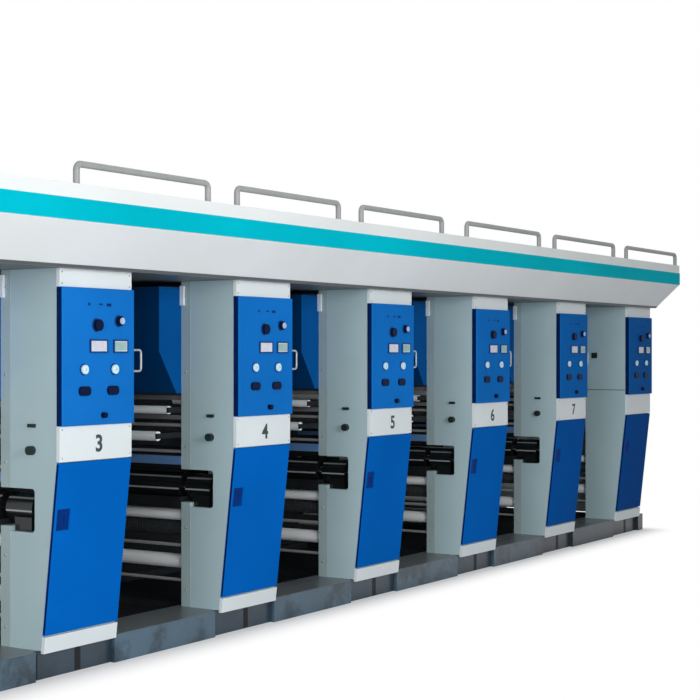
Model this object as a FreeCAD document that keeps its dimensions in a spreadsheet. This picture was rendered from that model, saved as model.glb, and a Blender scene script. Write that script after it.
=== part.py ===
"""Six-unit rotogravure printing machine, as a parametric assembly.

X runs along the machine, the operator's front looks to -Y, Z is up, and the
origin is on the floor under the middle of the machine. All sizes are in
millimetres and live in the sheet Sizes; every piece reads them from there.
"""
import FreeCAD, Part
import math
import os
import Sketcher

BAYS = 6
OPEN_BAYS = 5
SHORT_HOOPS = 3
MORE_HOOPS = 3

SIZES = {
    # Overall layout
    "bay_pitch": 1480,
    "column_width": 550,
    "machine_depth": 2000,
    # Base frame
    "base_height": 150,
    "base_setback": 118,
    "rail_depth": 332,
    "base_end_overhang": 110,
    "recess_depth": 30,
    "recess_lead": 45,
    "beam_width": 400,
    "pan_height": 100,
    "pan_thickness": 6,
    # Columns and wall plates
    "column_top": 2088,
    "skin_thickness": 20,
    "wall_face": 408,
    "wall_thickness": 66,
    "slant_top": 1105,
    "slant_run": 98,
    "slant_drop": 885,
    "notch_low": 746,
    "notch_high": 969,
    "notch_front": 170,
    "notch_reach": 260,
    "notch_round": 20,
    "wall_sill": 26,
    # Front skins
    "cap_height": 93,
    "panel_proud": 20,
    "plate_height": 185,
    "skin_gap": 5,
    "kick_drop": 14,
    "door_gap": 0.5,
    "door_foot_gap": 8,
    "door_round": 4,
    "panel_round": 6,
    "latch_inset": 14,
    "latch_width": 96,
    "latch_height": 110,
    "latch_drop": 235,
    "latch_depth": 10,
    # Header
    "fascia_height": 217,
    "stripe_height": 107,
    "roof_height": 72,
    "lip_out": 55,
    "header_out": 250,
    "header_end_out": 100,
    "stripe_thickness": 3,
    # Guard hoops
    "hoop_start": 903,
    "short_hoop_pitch": 1310,
    "short_hoop_gap": 231,
    "hoop_row_gap": 330,
    "long_hoop_gap": 249,
    "hoop_end_gap": 5,
    "hoop_height": 102,
    "hoop_tube": 34,
    "hoop_bend": 30,
    "hoop_inset": 36,
    # Drying hood
    "hood_out": 207,
    "hood_right": 430,
    "hood_top_gap": 36,
    "hood_height": 630,
    "hood_slope_rise": 248,
    "hood_slope_run": 162,
    # Printing cylinder and its bearings
    "cylinder_x": 115,
    "cylinder_radius": 85,
    "cylinder_end_gap": 45,
    "journal_radius": 35,
    "journal_clearance": 0.05,
    "journal_end_gap": 30,
    "bearing_radius": 80,
    "bearing_front": 225,
    "bearing_cover": 6,
    # Impression roller
    "impression_radius": 75,
    "nip_gap": 6,
    "stub_radius": 22,
    "roller_end_gap": 30,
    # Guide rollers
    "guide_radius_upper": 24,
    "guide_out_upper": 100,
    "guide_z_upper": 1324,
    "guide_radius_lower": 28,
    "guide_out_lower": 200,
    "guide_z_lower": 1174,
    "pale_roller_x": 60,
    "feed_roller_z": 690,
    "feed_roller_radius": 34,
    "floor_roller_z": 411,
    "floor_roller_radius": 42,
    "arm_thickness": 12,
    "arm_height": 32,
    "arm_seat": 60,
    # Ribbed dark rollers
    "dark_radius": 45,
    "dark_x": 80,
    "dark_z_upper": 1222,
    "dark_z_lower": 608,
    # Bars and rods between the wall plates
    "top_bar": 28,
    "top_bar_x": 20,
    "top_bar_z": 1380,
    "middle_bar": 26,
    "middle_bar_x": 2,
    "middle_bar_z": 1264,
    "beam_bar_width": 40,
    "beam_bar_height": 50,
    "beam_bar_x": 5,
    "beam_bar_z": 995,
    "rod_radius": 10,
    "rod_x": 22,
    "rod_z_upper": 1230,
    "rod_z_middle": 1072,
    "rod_z_lower": 512,
    "rod_z_floor": 303,
    # Ink tray
    "tray_x": 10,
    "tray_width": 250,
    "tray_floor": 735,
    "tray_height": 68,
    "tray_wall": 5,
    # Rear side
    "rear_panel_thickness": 20,
    # End cover on the last column
    "cover_thickness": 6,
    "cover_split": 1329,
    "cover_joint": 6,
    # Small fittings
    "handle_tube": 12,
    "handle_height": 113,
    "handle_out": 110,
    "handle_bend": 18,
    "handle_z": 1564,
    "handle_y": 28,
    "knob_radius": 23,
    "knob_length": 32,
    "knob_y": 185,
    "knob_z": 1165,
    "lever_length": 46,
    "lever_height": 18,
    "lever_z": 1282,
    "catch_size": 50,
    "catch_y": 317,
    "catch_z": 1646,
    "catch_out": 14,
    "lamp_width": 27,
    "lamp_height": 116,
    "lamp_z": 1946,
    "lamp_out": 16,
    # Instruments of the control panel
    "display_x": 266,
    "display_width": 122,
    "small_display_x": 436,
    "small_display_width": 100,
    "display_z": 1696,
    "display_height": 56,
    "display_out": 6,
    "button_left_x": 156,
    "button_right_x": 388,
    "button_z": 1576,
    "button_radius": 24,
    "button_out": 14,
    "selector_x": 252,
    "selector_z": 1804,
    "selector_radius": 30,
    "switch_x": 422,
    "switch_z": 1828,
    "switch_radius": 26,
    "socket_x": 300,
    "socket_z": 1339,
    "socket_radius": 15,
    "grip_out": 24,
    "oval_left_x": 158,
    "oval_right_x": 374,
    "oval_z": 1466,
    "oval_width": 84,
    "oval_height": 48,
    "oval_round": 22,
    "oval_out": 12,
}


class Size:
    """A length that keeps its number and the sheet formula behind it."""

    def __init__(self, text, value):
        self.text = text
        self.value = float(value)

    def combine(self, other, sign, left=True):
        if not isinstance(other, Size):
            other = Size(repr(other), other)
        first, second = (self, other) if left else (other, self)
        result = {
            "+": lambda a, b: a + b,
            "-": lambda a, b: a - b,
            "*": lambda a, b: a * b,
            "/": lambda a, b: a / b,
        }[sign](first.value, second.value)
        return Size("(%s %s %s)" % (first.text, sign, second.text), result)

    def __add__(self, other):
        return self.combine(other, "+")

    def __radd__(self, other):
        return self.combine(other, "+", False)

    def __sub__(self, other):
        return self.combine(other, "-")

    def __rsub__(self, other):
        return self.combine(other, "-", False)

    def __mul__(self, other):
        return self.combine(other, "*")

    def __rmul__(self, other):
        return self.combine(other, "*", False)

    def __truediv__(self, other):
        return self.combine(other, "/")

    def __neg__(self):
        return 0 - self


def exact(value):
    """A plain number as a Size."""
    return value if isinstance(value, Size) else Size(repr(value), value)


doc = FreeCAD.newDocument("printing_machine")
sheet = doc.addObject("Spreadsheet::Sheet", "Sizes")
for row, (name, number) in enumerate(SIZES.items(), start=1):
    sheet.set("A%d" % row, name)
    sheet.set("B%d" % row, str(number))
    sheet.setAlias("B%d" % row, name)
doc.recompute()
S = {name: Size("Sizes." + name, number) for name, number in SIZES.items()}

# Derived places, all from the sheet
gap_width = S["bay_pitch"] - S["column_width"]
half_length = S["bay_pitch"] * (BAYS / 2)
half_depth = S["machine_depth"] / 2
first_column = gap_width - half_length
inner_width = S["machine_depth"] - 2 * S["wall_face"]
plate_top = S["slant_top"] + S["plate_height"]
panel_top = S["column_top"] - S["cap_height"]
slant_foot = S["slant_top"] - S["slant_drop"]
fascia_top = S["column_top"] + S["fascia_height"]
stripe_top = fascia_top + S["stripe_height"]
header_top = stripe_top + S["roof_height"]
cylinder_z = (S["notch_low"] + S["notch_high"]) / 2
slope = S["slant_run"] / S["slant_drop"]
body_length = inner_width - 2 * S["cylinder_end_gap"]
roller_length = inner_width - 2 * S["roller_end_gap"]


def origin_feature(body, role):
    return [item for item in body.Origin.OriginFeatures if item.Role == role][0]


def new_body(label):
    body = doc.addObject("PartDesign::Body", label)
    body.Label = label
    body.AllowCompound = True
    return body


def add_sketch(body, name, plane, offset=0):
    """A sketch on one of the body's origin planes, shifted along its normal."""
    sketch = body.newObject("Sketcher::SketchObject", name)
    sketch.AttachmentSupport = [(origin_feature(body, plane), "")]
    sketch.MapMode = "FlatFace"
    shift = exact(offset)
    sketch.setExpression("AttachmentOffset.Base.z", shift.text)
    return sketch


def pin_point(sketch, geo, pos, x, y):
    """Ties a sketch point to the sheet along both axes."""
    for kind, size in (("DistanceX", exact(x)), ("DistanceY", exact(y))):
        index = sketch.addConstraint(
            Sketcher.Constraint(kind, -1, 1, geo, pos, size.value))
        sketch.setExpression("Constraints[%d]" % index, size.text)


def add_circle(sketch, x, y, radius):
    x, y, radius = exact(x), exact(y), exact(radius)
    centre = FreeCAD.Vector(x.value, y.value, 0)
    geo = sketch.addGeometry(
        Part.Circle(centre, FreeCAD.Vector(0, 0, 1), radius.value), False)
    pin_point(sketch, geo, 3, x, y)
    index = sketch.addConstraint(Sketcher.Constraint("Radius", geo, radius.value))
    sketch.setExpression("Constraints[%d]" % index, radius.text)


def add_polygon(sketch, points):
    """A closed outline through points that are tied to the sheet."""
    points = [(exact(x), exact(y)) for x, y in points]
    count = len(points)
    first = None
    for number in range(count):
        start = points[number]
        end = points[(number + 1) % count]
        geo = sketch.addGeometry(Part.LineSegment(
            FreeCAD.Vector(start[0].value, start[1].value, 0),
            FreeCAD.Vector(end[0].value, end[1].value, 0)), False)
        first = geo if first is None else first
    for number in range(count):
        sketch.addConstraint(Sketcher.Constraint(
            "Coincident", first + number, 2, first + (number + 1) % count, 1))
    for number, (x, y) in enumerate(points):
        pin_point(sketch, first + number, 1, x, y)


def add_box_outline(sketch, x0, x1, y0, y1):
    add_polygon(sketch, [(x0, y0), (x1, y0), (x1, y1), (x0, y1)])


def add_rounded_box(sketch, x0, x1, y0, y1, radius):
    """A box outline with four equal rounded corners, tied to the sheet."""
    x0, x1 = sorted((exact(x0), exact(x1)), key=lambda size: size.value)
    y0, y1 = sorted((exact(y0), exact(y1)), key=lambda size: size.value)
    radius = exact(radius)
    left, right, low, high = x0.value, x1.value, y0.value, y1.value
    r = radius.value
    runs = [((left + r, low), (right - r, low)), ((right, low + r), (right, high - r)),
            ((right - r, high), (left + r, high)), ((left, high - r), (left, low + r))]
    lines = [sketch.addGeometry(Part.LineSegment(
        FreeCAD.Vector(*start, 0), FreeCAD.Vector(*end, 0)), False)
        for start, end in runs]
    centres = [(right - r, low + r), (right - r, high - r),
               (left + r, high - r), (left + r, low + r)]
    for number, centre in enumerate(centres):
        circle = Part.Circle(FreeCAD.Vector(*centre, 0), FreeCAD.Vector(0, 0, 1), r)
        turn = math.pi / 2
        arc = sketch.addGeometry(Part.ArcOfCircle(
            circle, (number - 1) * turn, number * turn), False)
        sketch.addConstraint(Sketcher.Constraint("Tangent", lines[number], 2, arc, 1))
        sketch.addConstraint(Sketcher.Constraint(
            "Tangent", arc, 2, lines[(number + 1) % 4], 1))
        index = sketch.addConstraint(Sketcher.Constraint("Radius", arc, r))
        sketch.setExpression("Constraints[%d]" % index, radius.text)
    for number, size in enumerate((y0, x1, y1, x0)):
        level = number % 2 == 0
        sketch.addConstraint(Sketcher.Constraint(
            "Horizontal" if level else "Vertical", lines[number]))
        index = sketch.addConstraint(Sketcher.Constraint(
            "DistanceY" if level else "DistanceX", -1, 1, lines[number], 1, size.value))
        sketch.setExpression("Constraints[%d]" % index, size.text)


def add_pad(body, sketch, name, length, midplane=False, reverse=False):
    pad = body.newObject("PartDesign::Pad", name)
    pad.Profile = sketch
    pad.setExpression("Length", exact(length).text)
    pad.Midplane = midplane
    pad.Reversed = reverse
    body.Tip = pad
    return pad


def add_pocket(body, sketch, name, length, midplane=False, reverse=False):
    pocket = body.newObject("PartDesign::Pocket", name)
    pocket.Profile = sketch
    pocket.setExpression("Length", exact(length).text)
    pocket.Midplane = midplane
    pocket.Reversed = reverse
    body.Tip = pocket
    return pocket


def round_face(body, feature, radius, on_face):
    """Rounds the edges of a feature that lie on one face, picked by a test."""
    doc.recompute()
    names = [
        "Edge%d" % number for number, edge in enumerate(feature.Shape.Edges, start=1)
        if all(on_face(vertex.Point) for vertex in edge.Vertexes)]
    rounding = body.newObject("PartDesign::Fillet", feature.Name + "_rounding")
    rounding.Base = (feature, names)
    rounding.setExpression("Radius", exact(radius).text)
    body.Tip = rounding
    return rounding


def repeat(body, features, name, count, step):
    """Copies of the given features along X, one step apart."""
    row = body.newObject("PartDesign::LinearPattern", name)
    row.Originals = features
    row.Direction = (origin_feature(body, "X_Axis"), [""])
    row.setExpression("Length", (exact(step) * (count - 1)).text)
    row.Occurrences = count
    body.Tip = row
    return row


def front_y(distance, side):
    """Y of a plane this far inside the skin plane of the front (-1) or rear (1)."""
    return side * (half_depth - exact(distance))


def bays(body, feature, count=BAYS):
    return repeat(body, [feature], body.Name + "_row", count, S["bay_pitch"])


def extruded_along_x(label, points, width, start, count=BAYS):
    """Outline in YZ, padded along X and repeated in each bay."""
    body = new_body(label)
    sketch = add_sketch(body, label + "_outline", "YZ_Plane", start)
    add_polygon(sketch, points)
    pad = add_pad(body, sketch, label + "_pad", width)
    if count > 1:
        bays(body, pad, count)
    return body


# Columns: straight above the number plate, leaning back below it
def column_outline(side):
    skin = S["skin_thickness"]
    rear = S["wall_face"] - S["wall_thickness"]
    foot = skin + slope * (S["slant_top"] - S["base_height"])
    return [
        (front_y(skin, side), S["column_top"]),
        (front_y(skin, side), S["slant_top"]),
        (front_y(foot, side), S["base_height"]),
        (front_y(rear, side), S["base_height"]),
        (front_y(rear, side), S["column_top"]),
    ]


def cut_notch(body, side, low):
    """Slot for the printing cylinder, open towards the inside of the machine."""
    sketch = add_sketch(body, body.Name + "_notch_outline", "YZ_Plane", first_column)
    past_wall = S["wall_face"] + 2 * S["notch_round"]
    add_rounded_box(sketch, front_y(S["notch_front"], side), front_y(past_wall, side),
                    low, S["notch_high"], S["notch_round"])
    notch = add_pocket(body, sketch, body.Name + "_notch", S["notch_reach"],
                       reverse=True)
    return repeat(body, [notch], body.Name + "_notches", OPEN_BAYS, S["bay_pitch"])


for side, label in ((-1, "front"), (1, "rear")):
    column = extruded_along_x(label + "_columns", column_outline(side),
                              S["column_width"], first_column)
    cut_notch(column, side, S["notch_low"])
    wall = extruded_along_x(
        label + "_wall_plates",
        [(front_y(S["wall_face"] - S["wall_thickness"], side), S["base_height"]),
         (front_y(S["wall_face"], side), S["base_height"]),
         (front_y(S["wall_face"], side), S["column_top"]),
         (front_y(S["wall_face"] - S["wall_thickness"], side), S["column_top"])],
        S["column_width"], first_column)
    cut_notch(wall, side, S["notch_low"] + S["wall_sill"])

# Base: two long rails, set back under each front panel, and cross beams
rail_left = -half_length - S["base_end_overhang"]
rail_right = half_length + S["base_end_overhang"]
for side, label in ((-1, "base_front_rail"), (1, "base_rear_rail")):
    rail = new_body(label)
    sketch = add_sketch(rail, label + "_outline", "XY_Plane")
    add_box_outline(sketch, rail_left, rail_right,
                    front_y(S["base_setback"], side),
                    front_y(S["base_setback"] + S["rail_depth"], side))
    add_pad(rail, sketch, label + "_pad", S["base_height"])
    if side < 0:
        sketch = add_sketch(rail, label + "_recess_outline", "XY_Plane", S["base_height"])
        add_box_outline(sketch, first_column - S["recess_lead"],
                        first_column + S["column_width"],
                        front_y(S["base_setback"] - S["skin_gap"], side),
                        front_y(S["base_setback"] + S["recess_depth"], side))
        recess = add_pocket(rail, sketch, label + "_recess", S["base_height"])
        repeat(rail, [recess], label + "_recesses", BAYS, S["bay_pitch"])

beams = new_body("base_cross_beams")
beam_edge = half_depth - S["base_setback"] - S["rail_depth"]
beam_left = first_column + (S["column_width"] - S["beam_width"]) / 2
sketch = add_sketch(beams, "beam_outline", "XY_Plane")
add_box_outline(sketch, beam_left, beam_left + S["beam_width"], -beam_edge, beam_edge)
bays(beams, add_pad(beams, sketch, "beam_pad", S["base_height"]))

# Floor pans that close the base between the cross beams
pans = new_body("base_floor_pans")
sketch = add_sketch(pans, "pan_outline", "XY_Plane", S["pan_height"])
add_box_outline(sketch, beam_left + S["beam_width"] - S["bay_pitch"], beam_left,
                -beam_edge, beam_edge)
bays(pans, add_pad(pans, sketch, "pan_pad", S["pan_thickness"]))

# Header: fascia that leans out from the columns, upright band and roof
header = new_body("header_housing")
low = add_sketch(header, "header_low", "XY_Plane", S["column_top"])
lip = half_depth + S["lip_out"]
add_box_outline(low, -half_length, half_length, -lip, lip)
high = add_sketch(header, "header_high", "XY_Plane", fascia_top)
header_x = half_length + S["header_end_out"]
header_y = half_depth + S["header_out"]
add_box_outline(high, -header_x, header_x, -header_y, header_y)
loft = header.newObject("PartDesign::AdditiveLoft", "header_fascia")
loft.Profile = low
loft.Sections = [high]
loft.Ruled = True
header.Tip = loft
band = add_sketch(header, "header_band", "XY_Plane", fascia_top)
add_box_outline(band, -header_x, header_x, -header_y, header_y)
add_pad(header, band, "header_upright", S["stripe_height"] + S["roof_height"])

stripe = new_body("header_stripe")
sketch = add_sketch(stripe, "stripe_outline", "XY_Plane", fascia_top)
stripe_x = header_x + S["stripe_thickness"]
stripe_y = header_y + S["stripe_thickness"]
add_box_outline(sketch, -stripe_x, stripe_x, -stripe_y, stripe_y)
add_box_outline(sketch, -header_x, header_x, -header_y, header_y)
add_pad(stripe, sketch, "stripe_pad", S["stripe_height"])


def add_open_path(sketch, points, bend):
    """Straight runs joined by tangent arcs of one bend radius."""
    points = [(exact(x), exact(y)) for x, y in points]
    plain = [FreeCAD.Vector(x.value, y.value, 0) for x, y in points]
    last = len(points) - 1
    radius = exact(bend)
    starts = {}
    ends = {}
    arcs = {}
    for number in range(1, last):
        into = (plain[number] - plain[number - 1]).normalize()
        out = (plain[number + 1] - plain[number]).normalize()
        turn = math.acos(max(-1.0, min(1.0, into.dot(out))))
        reach = radius.value * math.tan(turn / 2)
        ends[number] = plain[number] - into * reach
        starts[number] = plain[number] + out * reach
        inward = (out - into).normalize()
        centre = plain[number] + inward * (radius.value / math.cos(turn / 2))
        arcs[number] = (centre, inward)
    lines = []
    for number in range(last):
        a = starts.get(number, plain[number])
        b = ends.get(number + 1, plain[number + 1])
        lines.append(sketch.addGeometry(Part.LineSegment(a, b), False))
    pin_point(sketch, lines[0], 1, *points[0])
    pin_point(sketch, lines[-1], 2, *points[-1])
    for number in range(1, last):
        centre, inward = arcs[number]
        middle = centre - inward * radius.value
        curve = Part.Arc(ends[number], middle, starts[number])
        geo = sketch.addGeometry(curve, False)
        first_end = sketch.getPoint(geo, 1)
        near = (first_end - ends[number]).Length < (first_end - starts[number]).Length
        sketch.addConstraint(Sketcher.Constraint(
            "Tangent", lines[number - 1], 2, geo, 1 if near else 2))
        sketch.addConstraint(Sketcher.Constraint(
            "Tangent", geo, 2 if near else 1, lines[number], 1))
        corner = sketch.addGeometry(Part.Point(plain[number]), True)
        pin_point(sketch, corner, 1, *points[number])
        sketch.addConstraint(Sketcher.Constraint(
            "PointOnObject", corner, 1, lines[number - 1]))
        sketch.addConstraint(Sketcher.Constraint(
            "PointOnObject", corner, 1, lines[number]))
        index = sketch.addConstraint(Sketcher.Constraint("Radius", geo, radius.value))
        sketch.setExpression("Constraints[%d]" % index, radius.text)


def add_pipe(body, profile, spine, name):
    pipe = body.newObject("PartDesign::AdditivePipe", name)
    pipe.Profile = profile
    pipe.Spine = (spine, [])
    pipe.Transition = "Transformed"
    body.Tip = pipe
    return pipe


# Guard hoops along the front edge of the roof: shorter ones, then longer ones
hoops = new_body("guard_hoops")
hoop_y = -(header_y - S["hoop_inset"])
short_start = S["hoop_start"] - header_x
long_start = (short_start + SHORT_HOOPS * S["short_hoop_pitch"]
              - S["short_hoop_gap"] + S["hoop_row_gap"])
long_run = header_x - S["hoop_end_gap"] - long_start
long_pitch = (long_run + S["long_hoop_gap"]) / MORE_HOOPS
for kind, count, start, pitch, between in (
        ("short", SHORT_HOOPS, short_start, S["short_hoop_pitch"], S["short_hoop_gap"]),
        ("long", MORE_HOOPS, long_start, long_pitch, S["long_hoop_gap"])):
    left = start + S["hoop_tube"] / 2
    right = start + pitch - between - S["hoop_tube"] / 2
    path = add_sketch(hoops, kind + "_hoop_path", "XZ_Plane", -hoop_y)
    add_open_path(path, [
        (left, header_top), (left, header_top + S["hoop_height"]),
        (right, header_top + S["hoop_height"]), (right, header_top)], S["hoop_bend"])
    ring = add_sketch(hoops, kind + "_hoop_ring", "XY_Plane", header_top)
    add_circle(ring, left, hoop_y, S["hoop_tube"] / 2)
    hoop = add_pipe(hoops, ring, path, kind + "_hoop_pipe")
    repeat(hoops, [hoop], kind + "_hoop_row", count, pitch)

# Skins on the front of each column
skin_back = front_y(S["skin_thickness"], -1)
skin_face = front_y(0, -1)
extruded_along_x("cap_plates", [
    (skin_back, panel_top), (skin_face, panel_top),
    (skin_face, S["column_top"]), (skin_back, S["column_top"])],
    S["column_width"], first_column)
proud_face = skin_face - S["panel_proud"]
panels = extruded_along_x("control_panels", [
    (skin_back, plate_top), (proud_face, plate_top),
    (proud_face, panel_top), (skin_back, panel_top)],
    S["column_width"], first_column, 1)
panel_pad = panels.Tip
panel_edges = round_face(panels, panel_pad, S["panel_round"],
                         lambda point: abs(point.y - proud_face.value) < 1e-6)
repeat(panels, [panel_pad, panel_edges], "control_panels_row", BAYS, S["bay_pitch"])
plate_bottom = S["slant_top"] + S["skin_gap"]
extruded_along_x("number_plates", [
    (skin_back, plate_bottom), (skin_face, plate_bottom),
    (skin_face, plate_top), (skin_back, plate_top)],
    S["column_width"], first_column)


def slanted_skin(top, bottom, side, clearance=0):
    """Outline of a skin that lies on the leaning part of a column."""
    back = S["skin_thickness"] - exact(clearance)
    upper = slope * (S["slant_top"] - top)
    lower = slope * (S["slant_top"] - bottom)
    return [
        (front_y(upper, side), top), (front_y(lower, side), bottom),
        (front_y(back + lower, side), bottom), (front_y(back + upper, side), top)]


kick_top = slant_foot
kick_bottom = S["base_height"] - S["kick_drop"]
extruded_along_x("kick_plates", slanted_skin(kick_top, kick_bottom, -1),
                 S["column_width"], first_column)

# Lower doors: one leaf for each column, hung on its right edge
door_top = S["slant_top"]
door_bottom = kick_top + S["door_foot_gap"]
for bay in range(BAYS):
    label = "lower_door_%d" % (bay + 1)
    left = first_column + bay * S["bay_pitch"]
    door = extruded_along_x(label, slanted_skin(door_top, door_bottom, -1,
                                                S["door_gap"]),
                            S["column_width"], left, 1)
    round_face(door, door.Tip, S["door_round"], lambda point: abs(
        point.y - front_y(slope * (door_top - point.z), -1).value) < 1e-6)
    latch_top = door_top - S["latch_drop"]
    latch_bottom = latch_top - S["latch_height"]
    sketch = add_sketch(door, label + "_latch_outline", "YZ_Plane", left + S["latch_inset"])
    add_polygon(sketch, [
        (front_y(slope * (door_top - z) + out, -1), z)
        for z, out in ((latch_top, -S["skin_gap"]), (latch_bottom, -S["skin_gap"]),
                       (latch_bottom, S["latch_depth"]), (latch_top, S["latch_depth"]))])
    add_pocket(door, sketch, label + "_latch", S["latch_width"], reverse=True)

# Rear side: plain covers on the columns and closed bays between them
rear_foot = slope * (S["slant_top"] - S["base_height"])
extruded_along_x("rear_column_covers", [
    (front_y(S["skin_thickness"], 1), S["column_top"]), (front_y(0, 1), S["column_top"]),
    (front_y(0, 1), S["slant_top"]), (front_y(rear_foot, 1), S["base_height"]),
    (front_y(rear_foot + S["skin_thickness"], 1), S["base_height"]),
    (front_y(S["skin_thickness"], 1), S["slant_top"])],
    S["column_width"], first_column)
closing_face = S["wall_face"] - S["rear_panel_thickness"]
extruded_along_x("rear_closing_panels", [
    (front_y(closing_face, 1), S["base_height"]),
    (front_y(S["wall_face"], 1), S["base_height"]),
    (front_y(S["wall_face"], 1), S["column_top"]),
    (front_y(closing_face, 1), S["column_top"])],
    gap_width, -half_length)
extruded_along_x("end_closing_panel", [
    (front_y(S["wall_face"], -1), S["base_height"]),
    (front_y(S["wall_face"], 1), S["base_height"]),
    (front_y(S["wall_face"], 1), S["column_top"]),
    (front_y(S["wall_face"], -1), S["column_top"])],
    S["rear_panel_thickness"], half_length - S["rear_panel_thickness"], 1)


def across(label, draw, length=inner_width):
    """Section in XZ, padded evenly to both sides across the machine."""
    body = new_body(label)
    sketch = add_sketch(body, label + "_section", "XZ_Plane")
    draw(sketch)
    pad = add_pad(body, sketch, label + "_pad", length, midplane=True)
    return body, pad


# Drying hoods: tall boxes with the lower left edge cut away
def draw_hood(sketch):
    left = first_column - S["hood_out"]
    right = first_column + S["hood_right"]
    top = S["column_top"] - S["hood_top_gap"]
    bottom = top - S["hood_height"]
    add_polygon(sketch, [
        (left, top), (left, bottom + S["hood_slope_rise"]),
        (left + S["hood_slope_run"], bottom), (right, bottom), (right, top)])


hoods, pad = across("drying_hoods", draw_hood)
bays(hoods, pad)

# Printing cylinders: body between the walls, journals out into the notches
axis_x = first_column + S["cylinder_x"]
journal_length = S["machine_depth"] - 2 * (S["notch_front"] + S["journal_end_gap"])
for bay in range(OPEN_BAYS):
    label = "gravure_cylinder_%d" % (bay + 1)
    x = axis_x + bay * S["bay_pitch"]
    cylinder = new_body(label)
    sketch = add_sketch(cylinder, label + "_barrel_outline", "XZ_Plane")
    add_circle(sketch, x, cylinder_z, S["cylinder_radius"])
    add_pad(cylinder, sketch, label + "_barrel", body_length, midplane=True)
    sketch = add_sketch(cylinder, label + "_journal_outline", "XZ_Plane")
    add_circle(sketch, x, cylinder_z, S["journal_radius"])
    add_pad(cylinder, sketch, label + "_journals", journal_length, midplane=True)

# Bearing blocks of the printing cylinders, seated on the floor of each notch
bearings = new_body("cylinder_bearings")
block_parts = []
bore_radius = S["journal_radius"] + S["journal_clearance"]
bearing_length = S["wall_face"] - S["bearing_front"]
for side, end in ((-1, "front"), (1, "rear")):
    plane_y = front_y(S["bearing_front"], side)
    sketch = add_sketch(bearings, end + "_barrel_outline", "XZ_Plane", -plane_y)
    add_circle(sketch, axis_x, cylinder_z, S["bearing_radius"])
    add_circle(sketch, axis_x, cylinder_z, bore_radius)
    block_parts.append(add_pad(bearings, sketch, end + "_barrel", bearing_length,
                               reverse=side < 0))
    sketch = add_sketch(bearings, end + "_foot_outline", "XZ_Plane", -plane_y)
    foot_top = cylinder_z - bore_radius - S["bearing_cover"]
    add_box_outline(sketch, axis_x - S["bearing_radius"], axis_x + S["bearing_radius"],
                    S["notch_low"], foot_top)
    block_parts.append(add_pad(bearings, sketch, end + "_foot",
                               bearing_length - S["wall_thickness"],
                               reverse=side < 0))
repeat(bearings, block_parts, "bearing_row", OPEN_BAYS, S["bay_pitch"])


def rollers(label, places, count=BAYS):
    """Rollers with thinner stubs that end on the faces that carry them."""
    body = new_body(label)
    parts = []
    for number, (x, z, radius, barrel, full) in enumerate(places, start=1):
        sketch = add_sketch(body, "%s_barrel_outline_%d" % (label, number), "XZ_Plane")
        add_circle(sketch, x, z, radius)
        parts.append(add_pad(body, sketch, "%s_barrel_%d" % (label, number), barrel,
                             midplane=True))
        sketch = add_sketch(body, "%s_stub_outline_%d" % (label, number), "XZ_Plane")
        add_circle(sketch, x, z, S["stub_radius"])
        parts.append(add_pad(body, sketch, "%s_stub_%d" % (label, number), full,
                             midplane=True))
    repeat(body, parts, label + "_row", count, S["bay_pitch"])
    return body


impression_z = (cylinder_z + S["cylinder_radius"] + S["nip_gap"]
                + S["impression_radius"])
rollers("impression_rollers", [
    (axis_x, impression_z, S["impression_radius"], roller_length, inner_width)],
    OPEN_BAYS)
arm_span = inner_width - 2 * S["arm_thickness"]
arm_barrel = arm_span - 2 * S["door_gap"]
upper_x = first_column - S["guide_out_upper"]
lower_x = first_column - S["guide_out_lower"]
pale_x = first_column + S["pale_roller_x"]
rollers("guide_rollers", [
    (upper_x, S["guide_z_upper"], S["guide_radius_upper"], arm_barrel, arm_span),
    (lower_x, S["guide_z_lower"], S["guide_radius_lower"], arm_barrel, arm_span),
    (pale_x, S["feed_roller_z"], S["feed_roller_radius"], roller_length, inner_width),
    (pale_x, S["floor_roller_z"], S["floor_roller_radius"], roller_length, inner_width)])
rollers("dark_rollers", [
    (first_column + S["dark_x"], S["dark_z_upper"], S["dark_radius"],
     roller_length, inner_width),
    (first_column + S["dark_x"], S["dark_z_lower"], S["dark_radius"],
     roller_length, inner_width)])

# Arms that carry the two outer guide rollers
arms = new_body("roller_arms")
arm_parts = []
for side, end in ((-1, "front"), (1, "rear")):
    for place in ("upper", "lower"):
        out = S["guide_out_" + place] + S["guide_radius_" + place]
        z = S["guide_z_" + place]
        name = "arm_%s_%s" % (end, place)
        sketch = add_sketch(arms, name + "_outline", "XZ_Plane",
                            -front_y(S["wall_face"], side))
        add_box_outline(sketch, first_column - out, first_column + S["arm_seat"],
                        z - S["arm_height"] / 2, z + S["arm_height"] / 2)
        arm_parts.append(add_pad(arms, sketch, name, S["arm_thickness"],
                                 reverse=side < 0))
repeat(arms, arm_parts, "arm_row", BAYS, S["bay_pitch"])


# Bars and rods from wall plate to wall plate
def draw_bars(sketch):
    x = first_column + S["top_bar_x"]
    add_box_outline(sketch, x, x + S["top_bar"], S["top_bar_z"],
                    S["top_bar_z"] + S["top_bar"])
    x = first_column + S["middle_bar_x"]
    add_box_outline(sketch, x, x + S["middle_bar"], S["middle_bar_z"],
                    S["middle_bar_z"] + S["middle_bar"])
    x = first_column - S["beam_bar_x"]
    add_box_outline(sketch, x, x + S["beam_bar_width"], S["beam_bar_z"],
                    S["beam_bar_z"] + S["beam_bar_height"])


bars, pad = across("tie_bars", draw_bars)
bays(bars, pad)


def draw_rods(sketch):
    for place in ("upper", "middle", "lower", "floor"):
        add_circle(sketch, first_column + S["rod_x"], S["rod_z_" + place],
                   S["rod_radius"])


rods, pad = across("guide_rods", draw_rods)
bays(rods, pad)

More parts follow.
